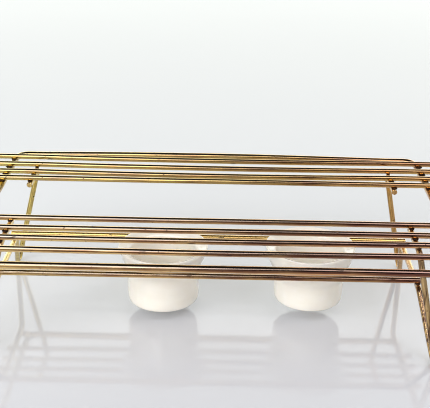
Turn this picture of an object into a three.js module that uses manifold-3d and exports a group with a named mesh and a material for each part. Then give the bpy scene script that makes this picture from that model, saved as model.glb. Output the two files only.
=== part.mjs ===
// Votive candle rack: a table rack of bent and straight brass rods with two glass cups.
//
// Frame: millimetres, +Z up, X along the long rods, -Y towards the front.
// The origin is on the surface that the rack stands on, under the middle of the rack.
//
// An outer loop of thicker rod carries eight long grid rods in two groups of four, with a wide
// gap between the groups. Each end stands on one bent rod, the side frame: it runs under the back
// group, down to the back foot, up to a lower rail, along that rail to the front foot and up again
// under the front group. Two holder bars lie across the lower rails, and the flared glass cups
// hang between them, each with a tealight inside.

import * as THREE from 'three';
import * as BufferGeometryUtils from 'three/addons/utils/BufferGeometryUtils.js';
import Module from 'manifold-3d';

// ---- driving dimensions, millimetres ----

const ROD_RADIUS = 2.4;
const LOOP_ROD_RADIUS = 2.9;
const CONTACT_GAP = 0.3;

const GRID_ROD_LENGTH = 406;
const GRID_ROD_Z = 102;
const GRID_ROD_CHAMFER = 0.4;
const GRID_ROD_Y = { back: [44.2, 60.4, 78.6, 98.2], front: [-43.2, -62.8, -80.9, -101.4] };

const LOOP_HALF_LENGTH = 187.2;
const LOOP_HALF_WIDTH = 117.9;
const LOOP_SHIFT_X = 3;
const LOOP_CORNER_RADIUS = 11;

const RAIL_X = 159.4;
const RAIL_END_Y = 39.6;
const RAIL_BEND_Y = 83.5;
const RAIL_BEND_RADIUS = 8;
const FOOT_X = { left: 185.2, right: 181 };
const FOOT_Y = 91.5;
const FOOT_CORNER_Z = -7.3;
const FOOT_BEND_RADIUS = 5;
const LOWER_RAIL_X = { left: 174.2, right: 170.6 };
const LOWER_RAIL_Z = 45.7;
const LOWER_RAIL_BEND_Y = 43.5;
const LOWER_RAIL_BEND_RADIUS = 8;

const HOLDER_BAR_LENGTH = 350;
const HOLDER_BAR_SHIFT_X = -2.4;
const HOLDER_BAR_Y = 38.4;
const HOLDER_BAR_CHAMFER = 0.4;

const CUP_X = { left: -40.2, right: 84.8 };
const CUP_BASE_Z = { left: 10.5, right: 13.5 };
const CUP_BODY_RADIUS = { left: 30.7, right: 29.6 };
const CUP_FLARE_DROP = { left: 0, right: 3 };
const CUP_WALL = 3.2;

const SHELL_RADIUS = 19.3;
const SHELL_WALL = 0.5;
const SHELL_HEIGHT = 16;
const SHELL_BASE_Z = 3.8;
const WAX_HEIGHT = 12.2;
const SUSTAINER_RADIUS = 6.5;
const SUSTAINER_THICKNESS = 0.5;
const SUSTAINER_NECK_RADIUS = 1.8;
const SUSTAINER_NECK_HEIGHT = 3.5;
const WICK_RADIUS = 0.8;
const WICK_ABOVE_WAX = 7.5;

const ROD_SIDES = 12;
const GRID_ROD_SIDES = 16;
const BEND_STEPS = 7;
const CUP_SIDES = 40;
const TEALIGHT_SIDES = 28;

const GRID_UNDERSIDE_Z = GRID_ROD_Z - ROD_RADIUS - CONTACT_GAP;
const LOOP_Z = GRID_UNDERSIDE_Z - LOOP_ROD_RADIUS;
const RAIL_Z = GRID_UNDERSIDE_Z - ROD_RADIUS;
const HOLDER_BAR_Z = LOWER_RAIL_Z + 2 * ROD_RADIUS + CONTACT_GAP;

// ---- finishes ----

const brass = { color: 0xa9834a, roughness: 0.32, metalness: 1 };
const darkBrass = { color: 0x8a5a3a, roughness: 0.38, metalness: 1 };
const milkGlass = { color: 0xf6ecdf, roughness: 0.15, metalness: 0 };
const aluminium = { color: 0xc9ccd0, roughness: 0.3, metalness: 1 };
const wax = { color: 0xf7f1e2, roughness: 0.6, metalness: 0 };
const tinnedSteel = { color: 0xb4b6ba, roughness: 0.35, metalness: 1 };
const cotton = { color: 0xeee9dc, roughness: 0.95, metalness: 0 };

const group = new THREE.Group();
group.name = 'votive_candle_rack';

const addMesh = (name, geometry, finish, parent = group) => {
  const mesh = new THREE.Mesh(geometry, new THREE.MeshStandardMaterial(finish));
  mesh.name = name;
  parent.add(mesh);
  return mesh;
};

// ---- bent rods ----

// Centre line of a bent rod: straight runs joined by circular bends.
// It is sampled at stations, one at each end of a straight run and several around each bend.
class RodPath extends THREE.Curve {
  constructor(corners, bendRadii) {
    super();
    this.points = [];
    this.tangents = [];
    const directions = corners.slice(1).map((corner, i) => corner.clone().sub(corners[i]).normalize());
    this.addStation(corners[0], directions[0]);
    for (let i = 1; i < corners.length - 1; i += 1) {
      this.addBend(corners[i], directions[i - 1], directions[i], bendRadii[i - 1]);
    }
    this.addStation(corners[corners.length - 1], directions[directions.length - 1]);
  }

  addStation(point, tangent) {
    this.points.push(point.clone());
    this.tangents.push(tangent.clone());
  }

  addBend(corner, before, after, radius) {
    const turn = before.angleTo(after);
    const axis = before.clone().cross(after).normalize();
    const towardsCentre = after.clone().sub(before).normalize();
    const centre = corner.clone().addScaledVector(towardsCentre, radius / Math.cos(turn / 2));
    const start = corner.clone().addScaledVector(before, -radius * Math.tan(turn / 2));
    const spoke = start.sub(centre);
    for (let step = 0; step <= BEND_STEPS; step += 1) {
      const angle = (turn * step) / BEND_STEPS;
      const point = spoke.clone().applyAxisAngle(axis, angle).add(centre);
      this.addStation(point, before.clone().applyAxisAngle(axis, angle));
    }
  }

  getUtoTmapping(u) {
    return u;
  }

  sample(list, t, target) {
    const position = THREE.MathUtils.clamp(t, 0, 1) * (list.length - 1);
    const index = Math.min(Math.floor(position + 1e-9), list.length - 2);
    return target.lerpVectors(list[index], list[index + 1], position - index);
  }

  getPoint(t, target = new THREE.Vector3()) {
    return this.sample(this.points, t, target);
  }

  getTangent(t, target = new THREE.Vector3()) {
    return this.sample(this.tangents, t, target).normalize();
  }
}

const roundSection = (radius, sides) => {
  const outline = [];
  for (let i = 0; i < sides; i += 1) {
    const angle = (2 * Math.PI * (i + 0.5)) / sides;
    outline.push(new THREE.Vector2(radius * Math.cos(angle), radius * Math.sin(angle)));
  }
  return new THREE.Shape(outline);
};

const bentRod = (corners, bendRadii, radius) => {
  const path = new RodPath(corners, bendRadii);
  return new THREE.ExtrudeGeometry(roundSection(radius, ROD_SIDES), {
    steps: path.points.length - 1,
    extrudePath: path,
    bevelEnabled: false,
  });
};

// ---- cutting the flats under the feet ----

const wasm = await Module();
wasm.setup();

const toManifold = (geometry) => {
  const bare = geometry.clone();
  bare.deleteAttribute('normal');
  bare.deleteAttribute('uv');
  const merged = BufferGeometryUtils.mergeVertices(bare, 1e-4);
  return new wasm.Manifold(new wasm.Mesh({
    numProp: 3,
    vertProperties: new Float32Array(merged.attributes.position.array),
    triVerts: new Uint32Array(merged.index.array),
  }));
};

const toGeometry = (solid) => {
  const mesh = solid.getMesh();
  const geometry = new THREE.BufferGeometry();
  geometry.setAttribute('position', new THREE.BufferAttribute(new Float32Array(mesh.vertProperties), 3));
  geometry.setIndex(new THREE.BufferAttribute(new Uint32Array(mesh.triVerts), 1));
  geometry.computeVertexNormals();
  return geometry;
};

const flattenFeet = (geometry) => {
  const below = new THREE.BoxGeometry(2 * GRID_ROD_LENGTH, 4 * FOOT_Y, 20);
  below.translate(0, 0, -10);
  return toGeometry(toManifold(geometry).subtract(toManifold(below)));
};

// ---- straight rods ----

const straightRod = (length, radius, chamfer) => {
  const half = length / 2;
  const profile = [
    new THREE.Vector2(0, -half),
    new THREE.Vector2(radius - chamfer, -half),
    new THREE.Vector2(radius, -half + chamfer),
    new THREE.Vector2(radius, half - chamfer),
    new THREE.Vector2(radius - chamfer, half),
    new THREE.Vector2(0, half),
  ];
  return new THREE.LatheGeometry(profile, GRID_ROD_SIDES);
};

const layAlongX = (mesh, x, y, z) => {
  mesh.rotation.z = -Math.PI / 2;
  mesh.position.set(x, y, z);
};

// ---- outer loop ----

// One rod bent round into a rounded rectangle, its two ends meeting in the middle of the back run.
const loopCorners = () => {
  const right = LOOP_SHIFT_X + LOOP_HALF_LENGTH;
  const left = LOOP_SHIFT_X - LOOP_HALF_LENGTH;
  return [
    new THREE.Vector3(LOOP_SHIFT_X + CONTACT_GAP / 2, LOOP_HALF_WIDTH, LOOP_Z),
    new THREE.Vector3(right, LOOP_HALF_WIDTH, LOOP_Z),
    new THREE.Vector3(right, -LOOP_HALF_WIDTH, LOOP_Z),
    new THREE.Vector3(left, -LOOP_HALF_WIDTH, LOOP_Z),
    new THREE.Vector3(left, LOOP_HALF_WIDTH, LOOP_Z),
    new THREE.Vector3(LOOP_SHIFT_X - CONTACT_GAP / 2, LOOP_HALF_WIDTH, LOOP_Z),
  ];
};

const loopBends = Array(4).fill(LOOP_CORNER_RADIUS);
addMesh('loop_rod', bentRod(loopCorners(), loopBends, LOOP_ROD_RADIUS), darkBrass);

// ---- grid rods, spaced by hand and numbered outwards from the central gap ----

for (const [place, rows] of Object.entries(GRID_ROD_Y)) {
  rows.forEach((y, i) => {
    const geometry = straightRod(GRID_ROD_LENGTH, ROD_RADIUS, GRID_ROD_CHAMFER);
    layAlongX(addMesh(`grid_rod_${place}_${i + 1}`, geometry, brass), 0, y, GRID_ROD_Z);
  });
}

// ---- side frames ----

// Bent by hand, so the left end splays out a little further than the right.
const sideFrame = (side) => {
  const sign = side === 'left' ? -1 : 1;
  const halfPath = [
    new THREE.Vector3(sign * RAIL_X, RAIL_END_Y, RAIL_Z),
    new THREE.Vector3(sign * RAIL_X, RAIL_BEND_Y, RAIL_Z),
    new THREE.Vector3(sign * FOOT_X[side], FOOT_Y, FOOT_CORNER_Z),
    new THREE.Vector3(sign * LOWER_RAIL_X[side], LOWER_RAIL_BEND_Y, LOWER_RAIL_Z),
  ];
  const mirrored = halfPath.map((corner) => new THREE.Vector3(corner.x, -corner.y, corner.z)).reverse();
  const halfBends = [RAIL_BEND_RADIUS, FOOT_BEND_RADIUS, LOWER_RAIL_BEND_RADIUS];
  const bends = [...halfBends, ...halfBends.slice().reverse()];
  return flattenFeet(bentRod([...halfPath, ...mirrored], bends, ROD_RADIUS));
};

for (const side of ['left', 'right']) {
  addMesh(`side_frame_${side}`, sideFrame(side), brass);
}

// ---- holder bars ----

for (const [name, y] of [['holder_bar_back', HOLDER_BAR_Y], ['holder_bar_front', -HOLDER_BAR_Y]]) {
  const bar = addMesh(name, straightRod(HOLDER_BAR_LENGTH, ROD_RADIUS, HOLDER_BAR_CHAMFER), brass);
  layAlongX(bar, HOLDER_BAR_SHIFT_X, y, HOLDER_BAR_Z);
}

// ---- glass cups and tealights, built from the cup's base upwards ----

const turned = (profile, sides) => {
  const geometry = new THREE.LatheGeometry(profile.map(([r, z]) => new THREE.Vector2(r, z)), sides);
  return geometry.rotateX(Math.PI / 2);
};

// Straight-sided bowl whose flare rests between the bars. The wall thickens into a broad lip, and
// the top of the lip slopes down to the mouth. The two cups are hand blown: they differ a little
// in width and in how low the flare starts.
const cupProfile = (side) => {
  const body = CUP_BODY_RADIUS[side];
  const drop = CUP_FLARE_DROP[side];
  const bore = body - CUP_WALL;
  return [
    [0, 0],
    [body - 4.9, 0],
    [body - 1.9, 0.8],
    [body - 0.7, 2.8],
    [body - 0.2, 7],
    [body, 18],
    [body + 0.3, 25 - drop],
    [31.4, 29.6 - drop],
    [32.1, 33 - drop],
    [33.2, 36.2 - drop],
    [34.6, 39 - drop],
    [35.6, 41.4 - drop],
    [36.8, 45 - drop],
    [38, 48.4],
    [38.1, 49.5],
    [37.4, 50],
    [36.6, 49.8],
    [33.5, 48.3],
    [30.6, 46.9],
    [29.2, 45.6],
    [28.5, 43.8],
    [bore + 0.6, 38],
    [bore + 0.3, 28],
    [bore, 16],
    [bore - 0.8, 8.5],
    [bore - 2.7, 5],
    [bore - 6, 3.5],
    [0, 3.5],
  ];
};

const shellProfile = () => [
  [0, 0],
  [SHELL_RADIUS - 1, 0],
  [SHELL_RADIUS, 1],
  [SHELL_RADIUS, SHELL_HEIGHT],
  [SHELL_RADIUS - SHELL_WALL, SHELL_HEIGHT],
  [SHELL_RADIUS - SHELL_WALL, 1.2],
  [SHELL_RADIUS - SHELL_WALL - 0.7, SHELL_WALL],
  [0, SHELL_WALL],
];

const sustainerProfile = () => {
  const bore = WICK_RADIUS + CONTACT_GAP;
  return [
    [bore, 0],
    [SUSTAINER_RADIUS, 0],
    [SUSTAINER_RADIUS, SUSTAINER_THICKNESS],
    [SUSTAINER_NECK_RADIUS, SUSTAINER_THICKNESS],
    [SUSTAINER_NECK_RADIUS, SUSTAINER_NECK_HEIGHT],
    [bore, SUSTAINER_NECK_HEIGHT],
    [bore, 0],
  ];
};

// The wax block is moulded over the sustainer and the wick.
const waxProfile = () => {
  const outer = SHELL_RADIUS - SHELL_WALL - CONTACT_GAP;
  const recess = SUSTAINER_RADIUS + CONTACT_GAP;
  const recessTop = SUSTAINER_THICKNESS + CONTACT_GAP;
  const neck = SUSTAINER_NECK_RADIUS + CONTACT_GAP;
  const neckTop = SUSTAINER_NECK_HEIGHT + CONTACT_GAP;
  const bore = WICK_RADIUS + CONTACT_GAP;
  return [
    [recess, 0],
    [outer - 1, 0],
    [outer, 1],
    [outer, WAX_HEIGHT],
    [outer - 2, WAX_HEIGHT - 0.6],
    [4, WAX_HEIGHT - 0.8],
    [bore, WAX_HEIGHT - 0.4],
    [bore, neckTop],
    [neck, neckTop],
    [neck, recessTop],
    [recess, recessTop],
    [recess, 0],
  ];
};

// A braided wick, straight in the wax and leaning a little above it.
const wickGeometry = () => {
  const top = WAX_HEIGHT + WICK_ABOVE_WAX;
  const corners = [
    new THREE.Vector3(0, 0, CONTACT_GAP),
    new THREE.Vector3(0, 0, WAX_HEIGHT + 2.5),
    new THREE.Vector3(1.6, 0, top),
  ];
  const path = new RodPath(corners, [4]);
  return new THREE.ExtrudeGeometry(roundSection(WICK_RADIUS, 8), {
    steps: path.points.length - 1,
    extrudePath: path,
    bevelEnabled: false,
  });
};

const tealightContentsZ = SHELL_BASE_Z + SHELL_WALL + CONTACT_GAP;

for (const side of ['left', 'right']) {
  const cup = new THREE.Group();
  cup.position.set(CUP_X[side], 0, CUP_BASE_Z[side]);
  group.add(cup);
  addMesh(`glass_cup_${side}`, turned(cupProfile(side), CUP_SIDES), milkGlass, cup);
  const shell = addMesh(`tealight_shell_${side}`, turned(shellProfile(), TEALIGHT_SIDES), aluminium, cup);
  shell.position.z = SHELL_BASE_Z;
  const contents = [
    [`tealight_wax_${side}`, turned(waxProfile(), TEALIGHT_SIDES), wax],
    [`wick_sustainer_${side}`, turned(sustainerProfile(), 16), tinnedSteel],
    [`wick_${side}`, wickGeometry(), cotton],
  ];
  for (const [name, geometry, finish] of contents) {
    addMesh(name, geometry, finish, cup).position.z = tealightContentsZ;
  }
}

export default group;
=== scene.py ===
import math
import random

import bmesh
import bpy
from mathutils import Matrix, Vector, noise


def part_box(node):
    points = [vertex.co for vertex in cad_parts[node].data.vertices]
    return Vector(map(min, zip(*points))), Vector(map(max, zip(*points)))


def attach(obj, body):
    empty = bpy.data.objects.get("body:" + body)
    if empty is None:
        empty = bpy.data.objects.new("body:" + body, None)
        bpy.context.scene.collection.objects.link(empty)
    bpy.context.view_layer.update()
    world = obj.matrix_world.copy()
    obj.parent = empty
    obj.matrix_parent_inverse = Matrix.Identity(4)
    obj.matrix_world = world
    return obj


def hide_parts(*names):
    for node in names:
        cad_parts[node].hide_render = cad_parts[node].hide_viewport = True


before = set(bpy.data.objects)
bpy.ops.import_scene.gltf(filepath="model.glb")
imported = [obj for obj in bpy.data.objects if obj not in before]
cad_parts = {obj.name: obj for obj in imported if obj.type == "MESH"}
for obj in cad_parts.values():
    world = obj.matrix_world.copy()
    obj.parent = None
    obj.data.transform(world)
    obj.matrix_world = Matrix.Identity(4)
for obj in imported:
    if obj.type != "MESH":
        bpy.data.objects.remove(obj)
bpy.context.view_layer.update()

# Blender seeds noise_vector from the clock, unless it is given a seed.
NOISE_SEED = 3
noise.seed_set(NOISE_SEED)

# Metres, +Z up, X along the long rods, -Y towards the front of the rack.

SIDES = ("left", "right")
SIGN = {"left": -1, "right": 1}

# ---- rods: sizes ----

ROD_RADIUS = 0.0024
LOOP_RADIUS = 0.0029
LOOP_CORNER_RADIUS = 0.011
RAIL_X = 0.1594
RAIL_END_Y = 0.0396
RAIL_BEND_Y = 0.0835
RAIL_BEND_RADIUS = 0.008
FOOT_X = {"left": 0.1852, "right": 0.181}
FOOT_Y = 0.0915
FOOT_CORNER_Z = -0.0073
FOOT_BEND_RADIUS = 0.005
LOWER_RAIL_X = {"left": 0.1742, "right": 0.1706}
LOWER_RAIL_BEND_Y = 0.0435
LOWER_RAIL_Z = 0.0457
LOWER_RAIL_BEND_RADIUS = 0.008

# How far a grid rod hangs down in the middle, and how far the loop's back run stands up
# at its corners and, beyond that, in its middle.
ROD_SAG = {
    "grid_rod_back_2": 0.0012,
    "grid_rod_back_3": 0.0008,
    "grid_rod_back_4": 0.0008,
    "grid_rod_front_3": 0.0005,
    "grid_rod_front_4": 0.0006,
}
LOOP_CORNER_LIFT = 0.0008
LOOP_BOW = 0.0016

# ---- rods: fineness and hand-made unevenness ----

ROD_SIDES = 28
BEND_STEPS = 14
STRAIGHT_STEP = 0.006
ROD_CHAMFER = 0.0004
ROD_WOBBLE = 0.00012
WOBBLE_SCALE = 14
ROUNDNESS_ERROR = 0.012
ROUNDNESS_SCALE = 60
SEED_STEP = (7.3, 3.1, 5.7)
BACK_BAR_SEED = 9
FRONT_BAR_SEED = 10
LOOP_SEED = 21
FRAME_SEED = {"left": 29, "right": 31}
WICK_SEED = 50

GRID_RODS = [f"grid_rod_{group}_{i}" for group in ("back", "front") for i in (1, 2, 3, 4)]
HOLDER_BARS = ["holder_bar_back", "holder_bar_front"]


def middle(node):
    low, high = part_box(node)
    return (Vector(low) + Vector(high)) / 2


def link(name, data):
    obj = bpy.data.objects.new(name, data)
    bpy.context.scene.collection.objects.link(obj)
    return obj


def shade_smooth(mesh):
    for polygon in mesh.polygons:
        polygon.use_smooth = True


def mesh_from(name, vertices, faces, sharp_degrees=35):
    mesh = bpy.data.meshes.new(name)
    mesh.from_pydata([tuple(v) for v in vertices], [], faces)
    mesh.validate()
    bm = bmesh.new()
    bm.from_mesh(mesh)
    bmesh.ops.recalc_face_normals(bm, faces=bm.faces)
    bm.to_mesh(mesh)
    bm.free()
    shade_smooth(mesh)
    mesh.set_sharp_from_angle(angle=math.radians(sharp_degrees))
    return link(name, mesh)


# ---- node helpers ----

class Nodes:
    """The nodes of a material or a world, with short calls for those that feed its shader."""

    def __init__(self, owner, shader, coordinates):
        owner.use_nodes = True
        self.owner = owner
        self.tree = owner.node_tree
        self.shader = self.tree.nodes[shader]
        self.source = coordinates

    def add(self, kind, **settings):
        node = self.tree.nodes.new(kind)
        for key, value in settings.items():
            setattr(node, key, value)
        return node

    def join(self, output, socket):
        self.tree.links.new(output, socket)

    def feed(self, node, socket, value):
        """Put a number or a colour into a node's socket, or link another node's output to it."""
        if isinstance(value, (int, float)):
            node.inputs[socket].default_value = value
        elif isinstance(value, tuple):
            node.inputs[socket].default_value = (*value, 1.0)
        else:
            self.join(value, node.inputs[socket])

    def constant(self, **values):
        for key, value in values.items():
            self.shader.inputs[key.replace("_", " ")].default_value = value

    def drive(self, **outputs):
        for key, output in outputs.items():
            self.join(output, self.shader.inputs[key.replace("_", " ")])

    def coordinates(self, stretch=(1, 1, 1)):
        source = self.add("ShaderNodeTexCoord")
        mapping = self.add("ShaderNodeMapping")
        mapping.inputs["Scale"].default_value = stretch
        self.join(source.outputs[self.source], mapping.inputs["Vector"])
        return mapping.outputs["Vector"]

    def noise(self, scale, detail, roughness, stretch=(1, 1, 1)):
        node = self.add("ShaderNodeTexNoise")
        self.feed(node, "Scale", scale)
        self.feed(node, "Detail", detail)
        self.feed(node, "Roughness", roughness)
        self.feed(node, "Vector", self.coordinates(stretch))
        return node.outputs["Fac"]

    def part_of(self, vector, name):
        split = self.add("ShaderNodeSeparateXYZ")
        self.join(vector, split.inputs[0])
        return split.outputs[name]

    def axis(self, name):
        return self.part_of(self.coordinates(), name)

    def facing_up(self):
        geometry = self.add("ShaderNodeNewGeometry")
        return self.part_of(geometry.outputs["Normal"], "Z")

    def remap(self, value, source, target=(0.0, 1.0)):
        """The value carried from one range to another, and held inside the second."""
        node = self.add("ShaderNodeMapRange")
        for name, number in zip(("From Min", "From Max", "To Min", "To Max"), (*source, *target)):
            self.feed(node, name, number)
        self.feed(node, "Value", value)
        return node.outputs["Result"]

    def math(self, operation, a, b):
        node = self.add("ShaderNodeMath", operation=operation)
        self.feed(node, 0, a)
        self.feed(node, 1, b)
        return node.outputs[0]

    def add_up(self, a, b):
        return self.math("ADD", a, b)

    def times(self, a, b):
        return self.math("MULTIPLY", a, b)

    def mix(self, factor, a, b):
        """Colour a where the factor is 0, and colour b where it is 1."""
        node = self.add("ShaderNodeMix", data_type="RGBA")
        self.feed(node, 0, factor)
        self.feed(node, 6, a)
        self.feed(node, 7, b)
        return node.outputs[2]

    def bump(self, height, strength, distance):
        node = self.add("ShaderNodeBump")
        self.feed(node, "Strength", strength)
        self.feed(node, "Distance", distance)
        self.feed(node, "Height", height)
        self.drive(Normal=node.outputs["Normal"])


def material_nodes(name):
    return Nodes(bpy.data.materials.new(name), "Principled BSDF", "Object")


# ---- brass ----

# A noise texture keeps within this range over nearly all of a surface.
NOISE_RANGE = (0.3, 0.7)

# The brass grows redder and darker from the left to the right end, and from the back to the front.
LEFT_TO_RIGHT_X = (-0.16, 0.17)
BACK_TO_FRONT_Y = (0.05, -0.05)
DRIFT = (-0.25, 0.25)

# Colours: those in pairs are for the left and the right end.
BACK_METAL = ((0.74, 0.58, 0.17), (0.76, 0.43, 0.13))
FRONT_METAL = ((0.84, 0.58, 0.24), (0.62, 0.28, 0.11))
LEG_METAL = ((0.82, 0.60, 0.27), (0.54, 0.37, 0.16))
BAR_METAL = ((0.84, 0.60, 0.19), (0.80, 0.53, 0.17))
# The brown is the colour of the tarnished stains, and also of the painted dark reflection along the rods'
# sides.
BROWN_TARNISH_AND_DARK_REFLECTION = ((0.21, 0.105, 0.035), (0.12, 0.034, 0.02))
# The grey is a painted highlight tint, laid on the upper faces of the rods.
PAINTED_HIGHLIGHT_GREY = ((0.29, 0.26, 0.215), (0.20, 0.125, 0.10))
BLACK_TARNISH = (0.05, 0.02, 0.012)
BRIGHT_STREAK = (0.85, 0.66, 0.34)
BLACK_SPECK = (0.03, 0.016, 0.011)

# Where the painted bands begin and end, by how far the surface faces up: -1 is straight down, 1 straight up.
DARK_REFLECTION_BEGINS = (-0.30, -0.18)
PAINTED_GREY_BEGINS = (0.32, 0.44)
PLAIN_TOP_BEGINS = (0.80, 0.93)
PLAIN_TOP_SHARE = 0.8
EDGE_WANDER = (-0.10, 0.10)
GREY_RETREAT = 0.15

# The painted brown and grey bands are thinner in patches, and at the back of the rack.
BAND_PATCHES = (0.3, 0.6)
THINNED_BY_PATCHES = 0.7
THINNED_AT_BACK = 0.5

# Tarnished stains follow the drawing streaks, and grow towards the right and the front.
STAINED_STREAKS = (0.45, 0.56)
TARNISH_RIGHTWARD = (0.3, 1.0)
TARNISH_FRONTWARD = (0.2, 0.9)
STAIN_LEAST = 0.35
STAIN_GROWTH = 0.6

BRIGHT_STREAKS = (0.62, 0.74)
BRIGHT_STREAK_STRENGTH = 0.4
DASH_STRETCH = (75, 430, 430)
DASHES = (0.69, 0.73)
DASH_STRENGTH = 0.8
SPECKS = (0.70, 0.75)
SPECK_ROUGHNESS = 0.3
SPECK_DEPTH = -0.6


def brass(name, stretch, back, front, painted_bands, dullness):
    """Old drawn brass with drawing streaks along the rod, dark dashes and specks, and worn bright
    patches. back and front each hold the metal's colour at the left and the right end of the rack.
    A painted dark reflection lies brown along the sides of a rod, with a painted grey highlight tint above
    it, and leaves the underside bright. The very top keeps most of the plain metal colour."""
    m = material_nodes(name)
    streak = m.noise(scale=1.0, detail=4.0, roughness=0.65, stretch=stretch)
    fine_streak = m.noise(scale=2.7, detail=3.0, roughness=0.6, stretch=stretch)
    patch = m.noise(scale=26.0, detail=3.0, roughness=0.6)
    dash = m.noise(scale=1.0, detail=2.0, roughness=0.5, stretch=DASH_STRETCH)
    speck = m.noise(scale=420.0, detail=2.0, roughness=0.5)

    drift = m.remap(patch, NOISE_RANGE, DRIFT)
    rightward = m.add_up(m.remap(m.axis("X"), LEFT_TO_RIGHT_X), drift)
    frontward = m.add_up(m.remap(m.axis("Y"), BACK_TO_FRONT_Y), drift)
    metal = m.mix(frontward, m.mix(rightward, *back), m.mix(rightward, *front))
    brown = m.mix(rightward, *BROWN_TARNISH_AND_DARK_REFLECTION)
    grey = m.mix(rightward, *PAINTED_HIGHLIGHT_GREY)

    tarnish = m.times(m.remap(rightward, TARNISH_RIGHTWARD), m.remap(frontward, TARNISH_FRONTWARD))
    stain_strength = m.add_up(STAIN_LEAST, m.times(tarnish, STAIN_GROWTH))
    stain = m.times(m.remap(streak, STAINED_STREAKS), stain_strength)
    base = m.mix(stain, metal, m.mix(tarnish, brown, BLACK_TARNISH))

    upward = m.add_up(m.facing_up(), m.remap(streak, NOISE_RANGE, EDGE_WANDER))
    patchy = m.remap(patch, BAND_PATCHES, (painted_bands * THINNED_BY_PATCHES, painted_bands))
    cover = m.times(patchy, m.remap(frontward, (0.0, 1.0), (THINNED_AT_BACK, 1.0)))
    # Painted dark reflection: brown on the sides of the rod, which face the front, stands in for the dark
    # stripe that the dim room reflects there.
    base = m.mix(m.times(m.remap(upward, DARK_REFLECTION_BEGINS), cover), base, brown)
    # Painted highlight: grey on the upper faces, where the window panel is reflected, turns that reflection
    # grey-white. The grey starts higher towards the right end, which narrows the highlight there.
    crown = m.math("SUBTRACT", upward, m.times(rightward, GREY_RETREAT))
    base = m.mix(m.times(m.remap(crown, PAINTED_GREY_BEGINS), cover), base, grey)
    # The very top is given back most of the plain metal colour, above the painted grey.
    base = m.mix(m.remap(upward, PLAIN_TOP_BEGINS, (0.0, PLAIN_TOP_SHARE)), base, metal)

    streaks = m.remap(fine_streak, BRIGHT_STREAKS, (0.0, BRIGHT_STREAK_STRENGTH))
    base = m.mix(streaks, base, BRIGHT_STREAK)
    dashes = m.remap(dash, DASHES, (0.0, DASH_STRENGTH))
    marks = m.math("MAXIMUM", m.remap(speck, SPECKS), dashes)
    base = m.mix(marks, base, BLACK_SPECK)
    gloss = m.remap(streak, NOISE_RANGE, (dullness, dullness + 0.1))
    m.drive(Base_Color=base, Roughness=m.add_up(gloss, m.times(marks, SPECK_ROUGHNESS)))
    m.constant(Metallic=1.0, Coat_Weight=0.4, Coat_Roughness=0.08)
    m.bump(m.add_up(streak, m.times(marks, SPECK_DEPTH)), strength=0.2, distance=0.0003)
    return m.owner


def braze_metal():
    m = material_nodes("braze")
    lumps = m.noise(scale=600.0, detail=3.0, roughness=0.6)
    hollow, raised = (0.010, 0.006, 0.005), (0.06, 0.028, 0.016)
    base = m.mix(m.remap(lumps, (0.4, 0.62)), hollow, raised)
    m.drive(Base_Color=base, Roughness=m.remap(lumps, NOISE_RANGE, (0.3, 0.6)))
    m.constant(Metallic=0.9)
    m.bump(lumps, strength=0.6, distance=0.0006)
    return m.owner


# ---- glass, tealight and wick ----

# The heights between which the glass turns from its body's cream to its flare's greyer tone.
FLARE_TONE_Z = (0.036, 0.060)


def milk_glass():
    """Cream opal glass, a little greyer and thinner towards the flared rim, with faint swirls."""
    m = material_nodes("milk_glass")
    swirl = m.noise(scale=38.0, detail=2.0, roughness=0.5, stretch=(1, 1, 2.6))
    cloud = m.noise(scale=120.0, detail=2.0, roughness=0.5)
    body, flare = (0.93, 0.885, 0.80), (0.82, 0.785, 0.72)
    tan, white = (0.86, 0.80, 0.70), (0.97, 0.95, 0.91)
    base = m.mix(m.remap(m.axis("Z"), FLARE_TONE_Z), body, flare)
    base = m.mix(m.remap(swirl, (0.4, 0.7), (0.0, 0.35)), base, tan)
    base = m.mix(m.remap(cloud, (0.5, 0.7), (0.0, 0.2)), base, white)
    m.drive(Base_Color=base, Roughness=m.remap(swirl, NOISE_RANGE, (0.10, 0.2)))
    m.constant(IOR=1.5, Coat_Weight=0.3, Coat_Roughness=0.05)
    m.constant(Subsurface_Weight=0.25, Subsurface_Scale=0.004, Subsurface_Radius=(1.0, 0.85, 0.65))
    m.bump(swirl, strength=0.12, distance=0.0008)
    return m.owner


def spun_aluminium():
    m = material_nodes("tealight_aluminium")
    crinkle = m.noise(scale=300.0, detail=3.0, roughness=0.6, stretch=(1, 1, 0.2))
    stain = m.noise(scale=90.0, detail=2.0, roughness=0.5)
    bright, dull = (0.80, 0.81, 0.82), (0.60, 0.60, 0.60)
    base = m.mix(m.remap(stain, (0.45, 0.7)), bright, dull)
    m.drive(Base_Color=base, Roughness=m.remap(crinkle, NOISE_RANGE, (0.22, 0.42)))
    m.constant(Metallic=1.0)
    m.bump(crinkle, strength=0.2, distance=0.0003)
    return m.owner


def candle_wax():
    m = material_nodes("candle_wax")
    mottle = m.noise(scale=140.0, detail=3.0, roughness=0.55)
    pale, yellow = (0.93, 0.90, 0.81), (0.86, 0.81, 0.70)
    base = m.mix(m.remap(mottle, (0.35, 0.65)), pale, yellow)
    m.drive(Base_Color=base, Roughness=m.remap(mottle, NOISE_RANGE, (0.35, 0.55)))
    m.constant(Subsurface_Weight=0.4, Subsurface_Scale=0.004)
    m.bump(mottle, strength=0.25, distance=0.0006)
    return m.owner


def wick_cotton():
    m = material_nodes("wick_cotton")
    wave = m.add("ShaderNodeTexWave", wave_type="BANDS", bands_direction="DIAGONAL")
    m.feed(wave, "Scale", 420.0)
    m.feed(wave, "Distortion", 1.5)
    m.feed(wave, "Vector", m.coordinates())
    braid = wave.outputs["Fac"]
    crest, groove = (0.90, 0.87, 0.78), (0.62, 0.57, 0.47)
    m.drive(Base_Color=m.mix(braid, crest, groove))
    m.constant(Roughness=0.9)
    m.bump(braid, strength=0.6, distance=0.0003)
    return m.owner


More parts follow.
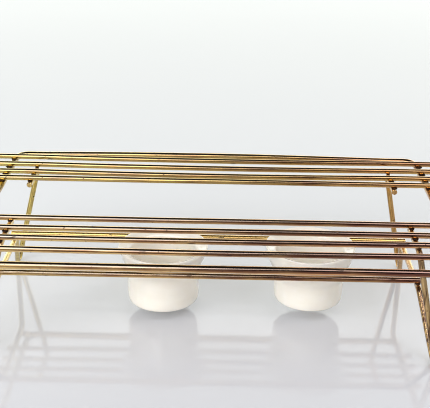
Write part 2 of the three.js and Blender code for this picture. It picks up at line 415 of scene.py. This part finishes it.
def tinned_steel():
    m = material_nodes("sustainer_steel")
    brush = m.noise(scale=500.0, detail=2.0, roughness=0.5, stretch=(1, 0.1, 1))
    bright, dull = (0.62, 0.62, 0.64), (0.45, 0.45, 0.46)
    base = m.mix(m.remap(brush, (0.35, 0.7)), bright, dull)
    m.drive(Base_Color=base, Roughness=m.remap(brush, NOISE_RANGE, (0.28, 0.45)))
    m.constant(Metallic=1.0)
    m.bump(brush, strength=0.15, distance=0.0002)
    return m.owner


ROD_STREAKS = (6, 520, 520)
LOOP_STREAKS = (9, 420, 420)
FRAME_STREAKS = (440, 440, 24)
ROD_BRASS = brass("rod_brass", ROD_STREAKS, BACK_METAL, FRONT_METAL, painted_bands=1.0, dullness=0.07)
LOOP_BRASS = brass("loop_brass", LOOP_STREAKS, BACK_METAL, FRONT_METAL, painted_bands=1.0, dullness=0.07)
BAR_BRASS = brass("bar_brass", ROD_STREAKS, BAR_METAL, BAR_METAL, painted_bands=0.15, dullness=0.16)
FRAME_BRASS = brass("frame_brass", FRAME_STREAKS, BACK_METAL, LEG_METAL, painted_bands=0.25, dullness=0.13)
BRAZE = braze_metal()
MILK_GLASS = milk_glass()
ALUMINIUM = spun_aluminium()
WAX = candle_wax()
COTTON = wick_cotton()
STEEL = tinned_steel()


def set_material(obj, material):
    obj.data.materials.clear()
    obj.data.materials.append(material)


def finish_piece(obj, material, body, slot, *nodes):
    set_material(obj, material)
    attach(obj, body)
    if nodes:
        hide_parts(*nodes)


# ---- rods ----

def bend(corner, before, after, radius):
    """Stations (point, tangent) round one bend."""
    turn = before.angle(after)
    axis = before.cross(after).normalized()
    centre = corner + (after - before).normalized() * (radius / math.cos(turn / 2))
    spoke = corner - before * (radius * math.tan(turn / 2)) - centre
    stations = []
    for step in range(BEND_STEPS + 1):
        rotation = Matrix.Rotation(turn * step / BEND_STEPS, 3, axis)
        stations.append((centre + rotation @ spoke, (rotation @ before).normalized()))
    return stations


def run(start, end):
    """Stations along a straight run, without its two ends."""
    count = max(1, round((end - start).length / STRAIGHT_STEP))
    tangent = (end - start).normalized()
    return [(start.lerp(end, i / count), tangent) for i in range(1, count)]


def rod_stations(corners, radii, closed=False):
    """Stations along a rod that is bent at its corners. radii holds one radius for each bend."""
    count = len(corners)
    directions = [(corners[(i + 1) % count] - corners[i]).normalized() for i in range(count)]
    if closed:
        bends = [bend(corners[i], directions[i - 1], directions[i], radii[i]) for i in range(count)]
    else:
        bends = [[(corners[0], directions[0])]]
        for i in range(1, count - 1):
            bends.append(bend(corners[i], directions[i - 1], directions[i], radii[i - 1]))
        bends.append([(corners[-1], directions[-2])])
    stations = []
    for i, group in enumerate(bends):
        stations += group
        following = bends[(i + 1) % len(bends)]
        if closed or i < len(bends) - 1:
            stations += run(group[-1][0], following[0][0])
    return stations


def chamfered(rings, chamfer):
    """The rings of an open rod, with a smaller ring at either end."""
    (start, outward, radius), (end, inward, _) = rings[0], rings[-1]
    return [
        (start, outward, radius - chamfer),
        (start + outward * chamfer, outward, radius),
        *rings[1:-1],
        (end - inward * chamfer, inward, radius),
        (end, inward, radius - chamfer),
    ]


def sweep(name, stations, radius, seed, closed=False, wobble=ROD_WOBBLE, chamfer=ROD_CHAMFER, lift=None):
    """A round rod along the stations, drawn by hand: a little out of true and out of round.
    lift(point) says how far a point of its centre line lies above the straight line."""
    rings = [(point, tangent, radius) for point, tangent in stations]
    if not closed:
        rings = chamfered(rings, chamfer)
    count = len(rings)
    vertices, faces = [], []
    first_across = rings[0][1].orthogonal().normalized()
    across = first_across
    offset = Vector([seed * step for step in SEED_STEP])
    for index, (point, tangent, size) in enumerate(rings):
        across = (across - tangent * across.dot(tangent)).normalized()
        other = tangent.cross(across)
        at_end = min(index, count - 1 - index) < 2 and not closed
        drift = noise.noise_vector(point * WOBBLE_SCALE + offset) * (0 if at_end else wobble)
        drift -= tangent * drift.dot(tangent)
        drift.z += lift(point) if lift else 0.0
        for k in range(ROD_SIDES):
            angle = 2 * math.pi * k / ROD_SIDES
            spoke = across * math.cos(angle) + other * math.sin(angle)
            ripple = noise.noise(point * ROUNDNESS_SCALE + spoke * 0.6 + offset)
            vertices.append(point + drift + spoke * size * (1 + ROUNDNESS_ERROR * ripple))

    # The last ring of a closed rod has turned against the first one by this many sides.
    twist = math.atan2(rings[-1][1].cross(across).dot(first_across), across.dot(first_across))
    seam_shift = round(twist / (2 * math.pi) * ROD_SIDES)
    for i in range(count if closed else count - 1):
        shift = seam_shift if i == count - 1 else 0
        here = i * ROD_SIDES
        following = (i + 1) % count * ROD_SIDES
        for k in range(ROD_SIDES):
            k2 = (k + 1) % ROD_SIDES
            faces.append((
                here + k, here + k2,
                following + (k2 - shift) % ROD_SIDES, following + (k - shift) % ROD_SIDES))
    if not closed:
        faces.append(tuple(range(ROD_SIDES)))
        faces.append(tuple(range((count - 1) * ROD_SIDES, count * ROD_SIDES)))
    return mesh_from(name, vertices, faces)


def arch(point):
    """One half way between the side frames, and nought at them."""
    return max(0.0, 1 - (point.x / RAIL_X) ** 2)


def straight_rod(node, material, seed):
    low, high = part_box(node)
    centre = middle(node)
    ends = [Vector((x, centre.y, centre.z)) for x in (low[0], high[0])]
    sag = ROD_SAG.get(node, 0.0)
    obj = sweep(
        node + "_drawn", rod_stations(ends, []), ROD_RADIUS, seed,
        lift=lambda point: -sag * arch(point))
    finish_piece(obj, material, "rack", "rod_brass", node)


for seed, node in enumerate(GRID_RODS, start=1):
    straight_rod(node, ROD_BRASS, seed)
straight_rod("holder_bar_back", BAR_BRASS, BACK_BAR_SEED)
straight_rod("holder_bar_front", ROD_BRASS, FRONT_BAR_SEED)

loop_low, loop_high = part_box("loop_rod")
loop_z = middle("loop_rod").z
loop_left, loop_right = loop_low[0] + LOOP_RADIUS, loop_high[0] - LOOP_RADIUS
loop_front, loop_back = loop_low[1] + LOOP_RADIUS, loop_high[1] - LOOP_RADIUS


def loop_lift(point):
    """The loop's back run was bent a little high, most of all in the middle."""
    along_corner = (point.y - loop_back + LOOP_CORNER_RADIUS) / LOOP_CORNER_RADIUS
    return min(max(along_corner, 0.0), 1.0) * (LOOP_CORNER_LIFT + LOOP_BOW * arch(point))


def outer_loop():
    corners = [
        Vector((loop_left, loop_back, loop_z)),
        Vector((loop_right, loop_back, loop_z)),
        Vector((loop_right, loop_front, loop_z)),
        Vector((loop_left, loop_front, loop_z)),
    ]
    stations = rod_stations(corners, [LOOP_CORNER_RADIUS] * 4, closed=True)
    obj = sweep("loop_rod_drawn", stations, LOOP_RADIUS, LOOP_SEED, closed=True, lift=loop_lift)
    finish_piece(obj, LOOP_BRASS, "rack", "loop_brass", "loop_rod")


outer_loop()


def side_frame(side):
    """One bent rod: top rail, hairpin foot, lower rail, and the same again mirrored in Y."""
    sign = SIGN[side]
    rail_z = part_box("side_frame_left")[1][2] - ROD_RADIUS
    half = [
        Vector((sign * RAIL_X, RAIL_END_Y, rail_z)),
        Vector((sign * RAIL_X, RAIL_BEND_Y, rail_z)),
        Vector((sign * FOOT_X[side], FOOT_Y, FOOT_CORNER_Z)),
        Vector((sign * LOWER_RAIL_X[side], LOWER_RAIL_BEND_Y, LOWER_RAIL_Z)),
    ]
    corners = half + [Vector((c.x, -c.y, c.z)) for c in reversed(half)]
    radii = [RAIL_BEND_RADIUS, FOOT_BEND_RADIUS, LOWER_RAIL_BEND_RADIUS]
    stations = rod_stations(corners, radii + radii[::-1])
    obj = sweep(f"side_frame_{side}_bent", stations, ROD_RADIUS, FRAME_SEED[side])
    # The foot is worn flat where it stands.
    for vertex in obj.data.vertices:
        vertex.co.z = max(vertex.co.z, 0.0)
    finish_piece(obj, FRAME_BRASS, "rack", "rod_brass", f"side_frame_{side}")


for side in SIDES:
    side_frame(side)


# ---- brazed joints ----

BRAZE_THICKNESS = 0.0012
BRAZE_SIZE_RANGE = (0.88, 1.12)
BRAZE_SHIFT = 0.0004
LOOP_BRAZE = (0.0028, 0.0024)
RAIL_BRAZE = (0.0025, 0.0025)
SMALL_RAIL_BRAZE = (0.0015, 0.0015)
SMALL_BRAZE_Y = 0.07
BAR_BRAZE = (0.0026, 0.0025)
GRID_BRAZE_DROP = 0.0004
BAR_BRAZE_DROP = 0.0001
LARGE_LUMPS = 0.22
SMALL_LUMPS = 0.08
LUMP_SEED_STEP = (1.7, 2.3, 0.9)
BRAZE_SEED = 5


def braze_blob(bm, place, spread, thickness, seed):
    """A lumpy bead of braze where one rod crosses another."""
    made = bmesh.ops.create_icosphere(bm, subdivisions=3, radius=1.0)
    offset = Vector([seed * step for step in LUMP_SEED_STEP])
    for vertex in made["verts"]:
        lump = 1 + LARGE_LUMPS * noise.noise(vertex.co * 1.7 + offset)
        lump += SMALL_LUMPS * noise.noise(vertex.co * 5 + offset)
        co = vertex.co * lump
        vertex.co = place + Vector((co.x * spread[0], co.y * spread[1], co.z * thickness))


def crossings():
    """Where rods are brazed, and how far the braze spreads along X and Y."""
    found = []
    for node in GRID_RODS:
        rod = middle(node)
        contact_z = rod.z - ROD_RADIUS - GRID_BRAZE_DROP
        for x in (loop_left, loop_right):
            found.append((Vector((x, rod.y, contact_z)), LOOP_BRAZE))
        if abs(rod.y) < RAIL_BEND_Y:
            spread = RAIL_BRAZE if abs(rod.y) < SMALL_BRAZE_Y else SMALL_RAIL_BRAZE
            for side in SIDES:
                found.append((Vector((SIGN[side] * RAIL_X, rod.y, contact_z)), spread))
    for node in HOLDER_BARS:
        bar = middle(node)
        contact_z = bar.z - ROD_RADIUS - BAR_BRAZE_DROP
        for side in SIDES:
            found.append((Vector((SIGN[side] * LOWER_RAIL_X[side], bar.y, contact_z)), BAR_BRAZE))
    return found


def braze_joints():
    bm = bmesh.new()
    rng = random.Random(BRAZE_SEED)
    for seed, (place, spread) in enumerate(crossings(), start=1):
        grow = rng.uniform(*BRAZE_SIZE_RANGE)
        shift_x = rng.uniform(-BRAZE_SHIFT, BRAZE_SHIFT)
        shift_y = rng.uniform(-BRAZE_SHIFT, BRAZE_SHIFT)
        grown = (spread[0] * grow, spread[1] * grow)
        braze_blob(bm, place + Vector((shift_x, shift_y, 0)), grown, BRAZE_THICKNESS * grow, seed)
    mesh = bpy.data.meshes.new("braze_joints")
    bm.to_mesh(mesh)
    bm.free()
    shade_smooth(mesh)
    finish_piece(link("braze_joints", mesh), BRAZE, "rack", "rod_brass")


braze_joints()


# ---- turned pieces ----

def catmull_rom(p0, p1, p2, p3, t):
    """The point a share t of the way from p1 to p2 on a smooth curve through all four."""
    return tuple(
        0.5 * (2 * b + (c - a) * t + (2 * a - 5 * b + 4 * c - d) * t * t
               + (3 * b - a - 3 * c + d) * t ** 3)
        for a, b, c, d in zip(p0, p1, p2, p3))


def smooth_profile(points, steps):
    """A smooth curve through (radius, height) points, with so many steps from each to the next."""
    result = []
    last = len(points) - 1
    for i in range(last):
        near = points[max(i - 1, 0)], points[i], points[i + 1], points[min(i + 2, last)]
        result += [catmull_rom(*near, step / steps) for step in range(steps)]
    result.append(points[-1])
    return [(max(r, 0.0), z) for r, z in result]


def turn(name, profile, place, sides, shape):
    """A closed body of revolution. shape(radius, height, angle) may move a point in or out."""
    vertices, faces, rings = [], [], []
    for r, z in profile:
        if r < 1e-6:
            rings.append([len(vertices)])
            vertices.append(place + Vector((0, 0, z)))
            continue
        ring = []
        for k in range(sides):
            angle = 2 * math.pi * k / sides
            shaped = shape(r, z, angle)
            ring.append(len(vertices))
            vertices.append(place + Vector((shaped * math.cos(angle), shaped * math.sin(angle), z)))
        rings.append(ring)
    for lower, upper in zip(rings, rings[1:]):
        for k in range(sides):
            k2 = (k + 1) % sides
            if len(lower) == 1:
                faces.append((lower[0], upper[k2], upper[k]))
            elif len(upper) == 1:
                faces.append((lower[k], lower[k2], upper[0]))
            else:
                faces.append((lower[k], lower[k2], upper[k2], upper[k]))
    return mesh_from(name, vertices, faces, sharp_degrees=50)


# ---- glass cups ----

# Millimetres, as are the outline's points.
CUP_BODY_RADIUS = {"left": 30.7, "right": 29.6}
CUP_FLARE_DROP = {"left": 0.0, "right": 3.0}
CUP_WALL = 3.2
MM_IN_A_METRE = 1000

CUP_SIDES = 112
CUP_PROFILE_STEPS = 4
# The outline is drawn in by this much, to leave room for the uneven glass.
CUP_SHRINK = 0.995
CUP_OVAL = 0.0035
CUP_LOBES = 0.002
CUP_PHASE = {"left": 0.6, "right": 2.1}


def cup_profile(side):
    """Outline of a cup in metres, from the middle of its base up round the lip and down inside."""
    body, drop = CUP_BODY_RADIUS[side], CUP_FLARE_DROP[side]
    bore = body - CUP_WALL
    foot = [(0, 0.9), (body - 12, 0.5), (body - 7, 0), (body - 4.4, 0), (body - 1.9, 0.8)]
    wall = [(body - 0.7, 2.8), (body - 0.2, 7), (body, 18), (body + 0.3, 25 - drop)]
    flare = [
        (31.4, 29.6 - drop), (32.1, 33 - drop), (33.2, 36.2 - drop), (34.6, 39 - drop),
        (35.6, 41.4 - drop), (36.8, 45 - drop), (37.9, 48.2),
    ]
    lip = [
        (38.05, 49.3), (37.5, 49.95), (36.6, 49.8), (33.5, 48.3), (30.6, 46.9), (29.2, 45.6),
        (28.5, 43.8),
    ]
    inside = [
        (bore + 0.6, 38), (bore + 0.3, 28), (bore, 16), (bore - 0.8, 8.5), (bore - 2.7, 5),
        (bore - 6, 3.6), (0, 3.5),
    ]
    outline = foot + wall + flare + lip + inside
    return [(r / MM_IN_A_METRE, z / MM_IN_A_METRE) for r, z in outline]


def glass_cup(side):
    """Make one cup, and return the point where its axis meets its base."""
    node = f"glass_cup_{side}"
    low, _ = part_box(node)
    centre = middle(node)
    place = Vector((centre.x, centre.y, low[2]))
    phase = CUP_PHASE[side]

    def blown(r, z, angle):
        oval = CUP_OVAL * math.sin(2 * angle + phase)
        return r * (1 + oval + CUP_LOBES * math.sin(3 * angle + 2 * phase + z * 40))

    smooth = smooth_profile(cup_profile(side), CUP_PROFILE_STEPS)
    profile = [(r * CUP_SHRINK, z) for r, z in smooth]
    obj = turn(f"{node}_blown", profile, place, CUP_SIDES, blown)
    finish_piece(obj, MILK_GLASS, f"cup_{side}", "milk_glass", node)
    return place


# ---- tealights ----

SHELL_SIDES = 144
SHELL_WALL = 0.00045
RIM_OVERHANG = 0.0004
FLUTES = 36
FLUTE_DEPTH = 0.00022
FLUTES_ABOVE_BASE = 0.0016
FLUTES_BELOW_RIM = 0.0022
WAX_SIDES = 72
WAX_PROFILE_STEPS = 3
WAX_CLEARANCE = 0.0006
WAX_RIPPLE = 0.002
WICK_RADIUS = 0.00072
WICK_CHAMFER = 0.0001
WICK_WOBBLE = 0.00003
WICK_BEND_RADIUS = 0.004
WICK_BEND_ABOVE_WAX = 0.0022
WICK_LEAN = 0.0015
WICK_TIP_DROP = 0.0002


def tealight_shell(side, axis):
    """A pressed aluminium shell: dished base, fluted wall and rolled rim."""
    node = f"tealight_shell_{side}"
    low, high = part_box(node)
    radius, height = (high[0] - low[0]) / 2, high[2] - low[2]
    outer = radius - RIM_OVERHANG
    inner = outer - SHELL_WALL

    def fluted(r, z, angle):
        on_wall = r > radius * 0.9 and FLUTES_ABOVE_BASE < z < height - FLUTES_BELOW_RIM
        return r - (FLUTE_DEPTH * (1 - math.cos(FLUTES * angle)) if on_wall else 0.0)

    base = [
        (0.0, 0.0004), (radius * 0.6, 0.0004), (radius * 0.66, 0.0), (radius - 0.0013, 0.0),
        (radius - 0.0007, 0.0005),
    ]
    outside = [(outer, z) for z in (FLUTES_ABOVE_BASE, 0.005, 0.009, height - 0.0024)]
    rim = [
        (radius - 0.0003, height - 0.0014), (radius, height - 0.001), (radius, height - 0.0003),
        (outer, height), (radius - 0.0007, height - 0.0003), (inner + 0.0001, height - 0.0012),
    ]
    inside = [(inner, z) for z in (height - 0.0024, 0.009, 0.0012)]
    floor = [(radius - 0.0016, 0.0006), (0.0, 0.0006)]
    place = Vector((axis.x, axis.y, low[2]))
    profile = base + outside + rim + inside + floor
    obj = turn(f"{node}_pressed", profile, place, SHELL_SIDES, fluted)
    finish_piece(obj, ALUMINIUM, f"tealight_{side}", "tealight_aluminium", node)


def tealight_wax(side, axis):
    """Poured wax, dished round the wick. Returns its height."""
    node = f"tealight_wax_{side}"
    low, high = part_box(node)
    radius, height = (high[0] - low[0]) / 2 - WAX_CLEARANCE, high[2] - low[2]

    def poured(r, z, angle):
        return r * (1 + WAX_RIPPLE * math.sin(5 * angle + z * 300))

    wall = [
        (0.0, 0.0005), (radius - 0.001, 0.0005), (radius - 0.0002, 0.0012),
        (radius - 0.0002, height * 0.5),
    ]
    dish = [
        (radius, height - 0.0001), (radius - 0.0006, height - 0.0003), (radius - 0.003, height - 0.0008),
        (0.009, height - 0.0010), (0.004, height - 0.0009), (0.0022, height - 0.0002),
        (0.0012, height + 0.0006), (0.0, height + 0.0007),
    ]
    place = Vector((axis.x, axis.y, low[2]))
    profile = smooth_profile(wall + dish, WAX_PROFILE_STEPS)
    obj = turn(f"{node}_poured", profile, place, WAX_SIDES, poured)
    finish_piece(obj, WAX, f"tealight_{side}", "candle_wax", node)
    return height


def tealight_wick(side, axis, wax_height):
    """A braided wick with its tip leaning over."""
    node = f"wick_{side}"
    low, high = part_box(node)
    foot = Vector((axis.x, axis.y, low[2]))
    knee = foot + Vector((0, 0, wax_height + WICK_BEND_ABOVE_WAX))
    tip = Vector((axis.x + WICK_LEAN, axis.y, high[2] - WICK_TIP_DROP))
    stations = rod_stations([foot, knee, tip], [WICK_BEND_RADIUS])
    obj = sweep(f"{node}_braided", stations, WICK_RADIUS, WICK_SEED, wobble=WICK_WOBBLE, chamfer=WICK_CHAMFER)
    finish_piece(obj, COTTON, f"tealight_{side}", "wick_cotton", node)


for side in SIDES:
    cup_axis = glass_cup(side)
    tealight_shell(side, cup_axis)
    tealight_wick(side, cup_axis, tealight_wax(side, cup_axis))
    set_material(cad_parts[f"wick_sustainer_{side}"], STEEL)


# ---- table ----

TABLE_REACH = 9
# The table lies just under the feet, so that no two surfaces share one plane.
TABLE_Z = -0.0002


def table_top():
    corners = [(x * TABLE_REACH, y * TABLE_REACH, 0) for x, y in ((-1, -1), (1, -1), (1, 1), (-1, 1))]
    mesh = bpy.data.meshes.new("table_top")
    mesh.from_pydata(corners, [], [(0, 1, 2, 3)])
    obj = link("table_top", mesh)
    obj.location.z = TABLE_Z
    m = material_nodes("table_gloss")
    cloud = m.noise(scale=1.6, detail=2.0, roughness=0.5)
    haze = m.noise(scale=5.0, detail=2.0, roughness=0.5)
    base = m.mix(cloud, (0.61, 0.625, 0.672), (0.64, 0.652, 0.69))
    m.drive(Base_Color=base, Roughness=m.remap(haze, NOISE_RANGE, (0.045, 0.08)))
    m.constant(IOR=1.5)
    set_material(obj, m.owner)


table_top()


# ---- light ----

def softbox(name, place, target_z, width, height, watts, colour, mirrored=True):
    """A rectangular area light. One that is not mirrored leaves no image of itself in the gloss."""
    light = bpy.data.lights.new(name, "AREA")
    light.shape = "RECTANGLE"
    light.size, light.size_y = width, height
    light.energy = watts
    light.color = colour
    obj = link(name, light)
    obj.location = place
    obj.rotation_mode = "QUATERNION"
    target = Vector((0, 0, target_z))
    obj.rotation_quaternion = (target - Vector(place)).to_track_quat("-Z", "Y")
    obj.visible_glossy = mirrored


softbox("window_panel", place=(-0.85, -1.45, 1.3), target_z=0.1, width=2.0, height=1.6,
        watts=39, colour=(0.98, 0.985, 0.99))
softbox("overhead_strip", place=(0.85, -0.85, 1.6), target_z=0.1, width=1.5, height=0.9,
        watts=15, colour=(0.98, 0.97, 1.0))
softbox("left_key", place=(-2.2, -1.5, 1.0), target_z=0.05, width=1.8, height=1.8,
        watts=31, colour=(1.0, 0.97, 0.92), mirrored=False)
softbox("right_fill", place=(2.0, -0.2, 1.3), target_z=0.05, width=1.6, height=1.4,
        watts=8, colour=(1.0, 0.84, 0.64), mirrored=False)

# The world is pale up to a certain height of the view direction, which is greater behind the rack.
PALE_TOP_IN_FRONT = 0.13
PALE_TOP_BEHIND = 0.54
PALE_TOP_EDGE = (-0.04, 0.04)
DARK_ABOVE = (0.02, 0.02, 0.022)
PALE_IN_FRONT = (0.95, 0.94, 0.92)
PALE_BEHIND = (2.10, 2.17, 2.07)

PIXEL_FILTER_WIDTH = 1.1


def surroundings():
    """Pale near the horizon and up behind the rack, dimmer low in front, dark above."""
    world = bpy.data.worlds.new("studio")
    bpy.context.scene.world = world
    w = Nodes(world, "Background", "Generated")
    pale_top = w.remap(w.axis("Y"), (0.1, 0.6), (PALE_TOP_IN_FRONT, PALE_TOP_BEHIND))
    below_top = w.math("SUBTRACT", pale_top, w.axis("Z"))
    pale = w.mix(w.remap(w.axis("Y"), (-0.8, -0.4)), PALE_IN_FRONT, PALE_BEHIND)
    sky = w.mix(w.remap(below_top, PALE_TOP_EDGE), DARK_ABOVE, pale)
    w.drive(Color=sky)
    w.constant(Strength=1.0)


surroundings()
bpy.context.scene.view_settings.view_transform = "Standard"
bpy.context.scene.view_settings.look = "None"
bpy.context.scene.cycles.filter_width = PIXEL_FILTER_WIDTH


# ---- camera ----

SENSOR_MM = 36.0
LENS_MM = 83.72
CAMERA_PLACE = (0.005, -0.7712, 0.4188)
HEADING = math.radians(0.142)
PITCH = math.radians(22.525)
ROLL = math.radians(1.101)


def camera():
    data = bpy.data.cameras.new("camera")
    data.sensor_width = SENSOR_MM
    data.lens = LENS_MM
    data.clip_start, data.clip_end = 0.05, 60
    obj = link("camera", data)
    level_right = Vector((math.cos(HEADING), math.sin(HEADING), 0))
    level = math.cos(PITCH)
    forward = Vector((-math.sin(HEADING) * level, math.cos(HEADING) * level, -math.sin(PITCH)))
    level_up = level_right.cross(forward)
    right = level_right * math.cos(ROLL) + level_up * math.sin(ROLL)
    up = level_up * math.cos(ROLL) - level_right * math.sin(ROLL)
    rotation = Matrix((right, up, -forward)).transposed().to_4x4()
    obj.matrix_world = Matrix.Translation(CAMERA_PLACE) @ rotation
    bpy.context.scene.camera = obj


camera()
